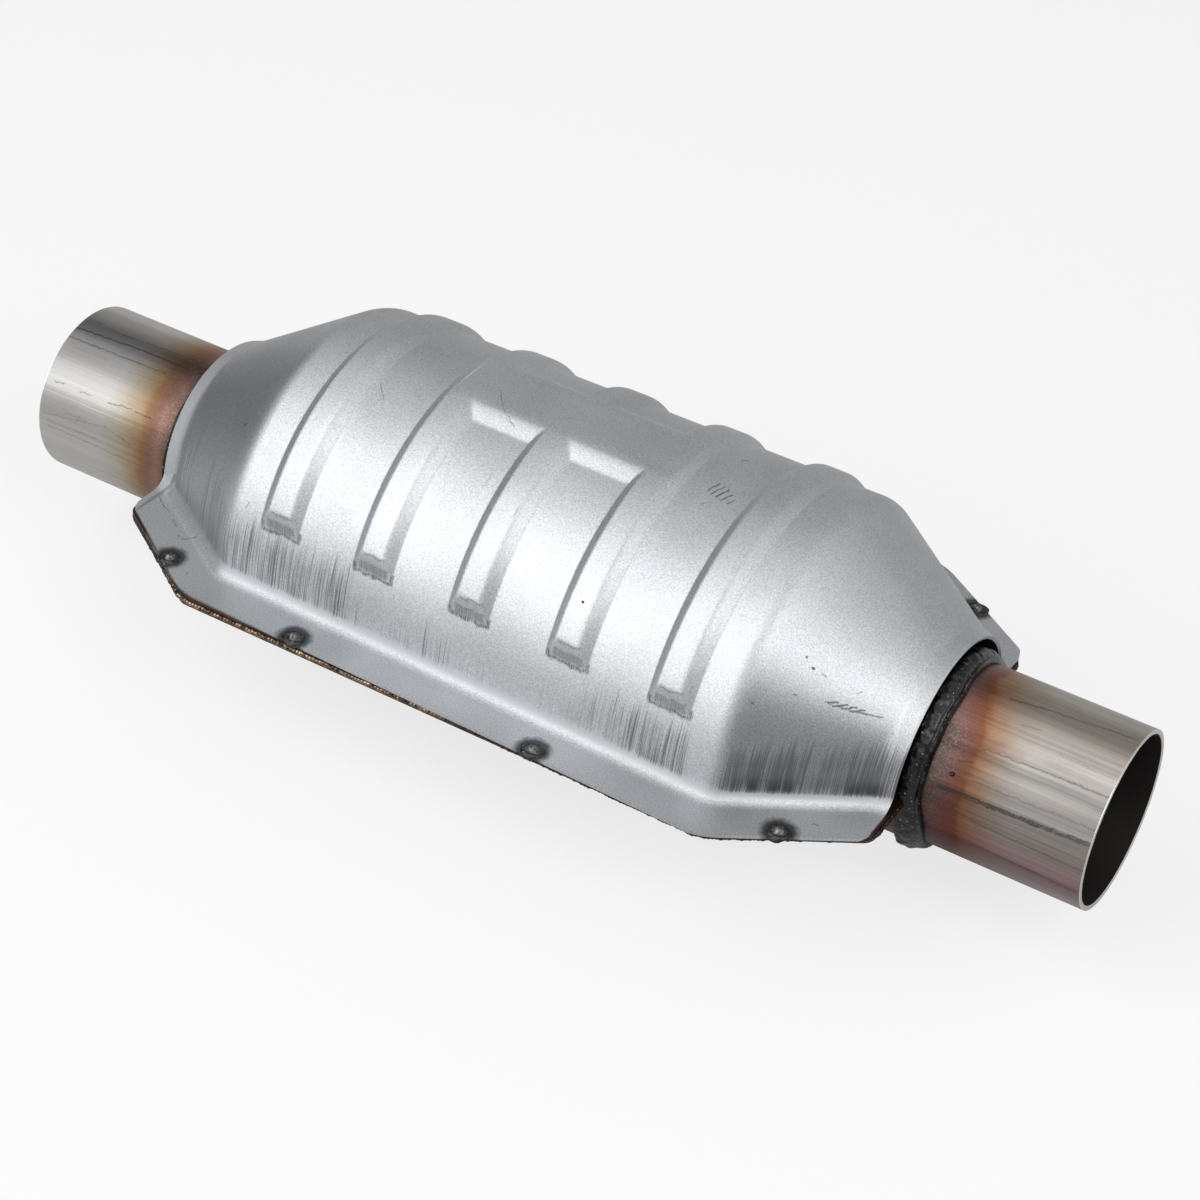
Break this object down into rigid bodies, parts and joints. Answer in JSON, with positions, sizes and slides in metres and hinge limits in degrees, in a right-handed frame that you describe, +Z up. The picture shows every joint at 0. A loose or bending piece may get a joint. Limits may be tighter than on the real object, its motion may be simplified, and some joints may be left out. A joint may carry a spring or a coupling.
{
  "type": "catalytic converter",
  "caption": "Weld-in catalytic converter with a ribbed upper heat shield, pressed clamshell body, inner ceramic bricks and a plain pipe stub at each end.",
  "frame": {"origin": "centre of the inlet pipe's open end, on the pipe axis", "axes": "+X along the gas flow from inlet to outlet, +Z up through the heat shield's crown, +Y across the flanges"},
  "size_m": [0.3811, 0.1592, 0.1166],
  "materials": {
    "aluminised_steel": "matt hot-dip aluminium coat on pressed steel sheet, drawing scuffs",
    "body_stainless": "pressed stainless sheet, heat tinted near the welds",
    "pipe_stainless": "drawn tube with streaks along it and heat tint near the neck",
    "pipe_weld_metal": "black glassy slag over a weld bead",
    "seam_weld_metal": "narrow edge weld, straw and grey tinted",
    "tack_weld_metal": "small dark oxidised weld lumps",
    "cordierite": "porous extruded honeycomb with a tan washcoat",
    "fibre_mat": "compressed ceramic fibre mat",
    "wire_mesh": "knitted stainless wire pressed into a ring"
  },
  "bodies": {
    "root": {"upper_heat_shield": "aluminised_steel", "upper_body_shell": "body_stainless", "lower_body_shell": "body_stainless", "inlet_pipe": "pipe_stainless", "outlet_pipe": "pipe_stainless", "inlet_pipe_weld": "pipe_weld_metal", "outlet_pipe_weld": "pipe_weld_metal", "near_seam_weld": "seam_weld_metal", "far_seam_weld": "seam_weld_metal", "front_catalyst_brick": "cordierite", "front_support_mat": "fibre_mat", "front_mat_inner_seal": "wire_mesh", "front_mat_outer_seal": "wire_mesh", "rear_catalyst_brick": "cordierite", "rear_support_mat": "fibre_mat", "rear_mat_inner_seal": "wire_mesh", "rear_mat_outer_seal": "wire_mesh", "near_tack_weld_1": "tack_weld_metal", "near_tack_weld_2": "tack_weld_metal", "near_tack_weld_3": "tack_weld_metal", "near_tack_weld_4": "tack_weld_metal", "far_tack_weld_1": "tack_weld_metal", "far_tack_weld_2": "tack_weld_metal", "far_tack_weld_3": "tack_weld_metal", "far_tack_weld_4": "tack_weld_metal"}
  },
  "joints": []
}
